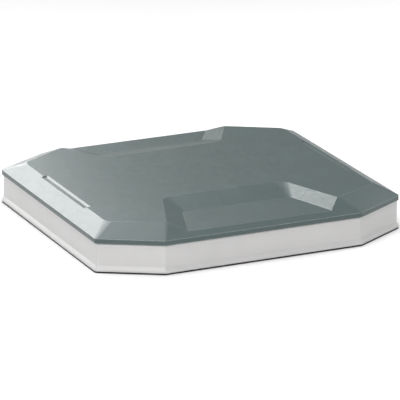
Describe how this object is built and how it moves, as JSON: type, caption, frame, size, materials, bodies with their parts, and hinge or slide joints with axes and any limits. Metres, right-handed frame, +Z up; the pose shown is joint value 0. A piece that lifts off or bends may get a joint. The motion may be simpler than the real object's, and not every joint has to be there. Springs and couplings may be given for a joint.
{
  "type": "manhole cover",
  "caption": "Low eight-sided raised-curb manhole access cover with a hinged bevelled lid, hand recesses, an inner latch, a hold-open arm and a gas strut.",
  "frame": {"origin": "centre of the footprint, on the underside of the base gasket", "axes": "+X along the long front edge to the right, +Y towards the hinges at the back, +Z up"},
  "size_m": [0.763, 0.7273, 0.1025],
  "materials": {
    "curb_paint": "satin powder coat, light warm grey",
    "lid_moulding": "semi-gloss moulded composite, dark grey-green",
    "black_rubber": "matt",
    "zinc_plate": "zinc plated steel",
    "bare_aluminium": "cast, bead blasted",
    "stainless": "brushed",
    "black_steel": "black coated steel",
    "hard_chrome": "ground and chromed",
    "liner_sheet": "satin sheet",
    "core_board": "end-grain board",
    "grip_vinyl": "dipped vinyl"
  },
  "bodies": {
    "curb": {"curb_frame": "curb_paint", "base_gasket": "black_rubber", "frame_seal": "black_rubber", "rest_pads": "black_rubber", "hinge_frame_leaves": "zinc_plate", "hinge_pins": "zinc_plate", "hinge_bolts": "zinc_plate", "hinge_nuts": "zinc_plate", "latch_keeper": "zinc_plate", "keeper_screws": "zinc_plate", "arm_bracket": "zinc_plate", "arm_bracket_bolts": "zinc_plate", "arm_pivot_bolt": "black_steel", "arm_pivot_nut": "zinc_plate", "strut_bracket": "zinc_plate", "strut_bracket_bolts": "zinc_plate", "strut_pivot_pin": "black_steel"},
    "lid": {"lid_shell": "lid_moulding", "lid_core": "core_board", "lid_stiffeners": "zinc_plate", "lid_liner": "liner_sheet", "liner_screws": "zinc_plate", "hinge_lid_leaves": "zinc_plate", "hinge_lid_screws": "zinc_plate", "latch_case": "bare_aluminium", "latch_case_screws": "zinc_plate", "pull_handle": "stainless", "pull_handle_screws": "zinc_plate", "arm_catch": "zinc_plate", "arm_catch_screws": "zinc_plate", "strut_lid_bracket": "zinc_plate", "strut_lid_screws": "zinc_plate"},
    "latch": {"latch_spindle": "black_steel", "latch_tongue": "zinc_plate", "latch_lever": "black_steel", "latch_grip": "grip_vinyl", "latch_nut": "zinc_plate"},
    "arm": {"hold_open_arm": "zinc_plate", "arm_grip": "grip_vinyl"},
    "strut": {"strut_lower_eye": "black_steel", "strut_tube": "black_steel", "strut_gland": "black_rubber"},
    "rod": {"strut_rod": "hard_chrome", "strut_piston": "black_steel", "strut_upper_eye": "black_steel"}
  },
  "joints": [
    {"name": "lid_hinge", "type": "hinge", "parent": "curb", "child": "lid", "pos_m": [0, 0.3613, 0.062], "axis": [-1, 0, 0], "range_deg": [0, 100]},
    {"name": "latch_turn", "type": "hinge", "parent": "lid", "child": "latch", "pos_m": [0, -0.295, 0.055], "axis": [0, 0, -1], "range_deg": [0, 90]},
    {"name": "arm_swing", "type": "hinge", "parent": "curb", "child": "arm", "pos_m": [-0.32, 0.1583, 0.04], "axis": [-1, 0, 0], "range_deg": [0, 140]},
    {"name": "strut_swing", "type": "hinge", "parent": "curb", "child": "strut", "pos_m": [0.318, -0.0797, 0.04], "axis": [1, 0, 0], "range_deg": [0, 16.24]},
    {"name": "rod_slide", "type": "slide", "parent": "strut", "child": "rod", "axis": [0, 0.9997, 0.0249], "range_m": [0, 0.1492]}
  ],
  "couplings": [
    {"joint": "arm_swing", "follows": "lid_hinge", "ratio": 1.4},
    {"joint": "strut_swing", "follows": "lid_hinge", "ratio": 0.16228},
    {"joint": "rod_slide", "follows": "lid_hinge", "m_per_rad": 0.085427}
  ]
}
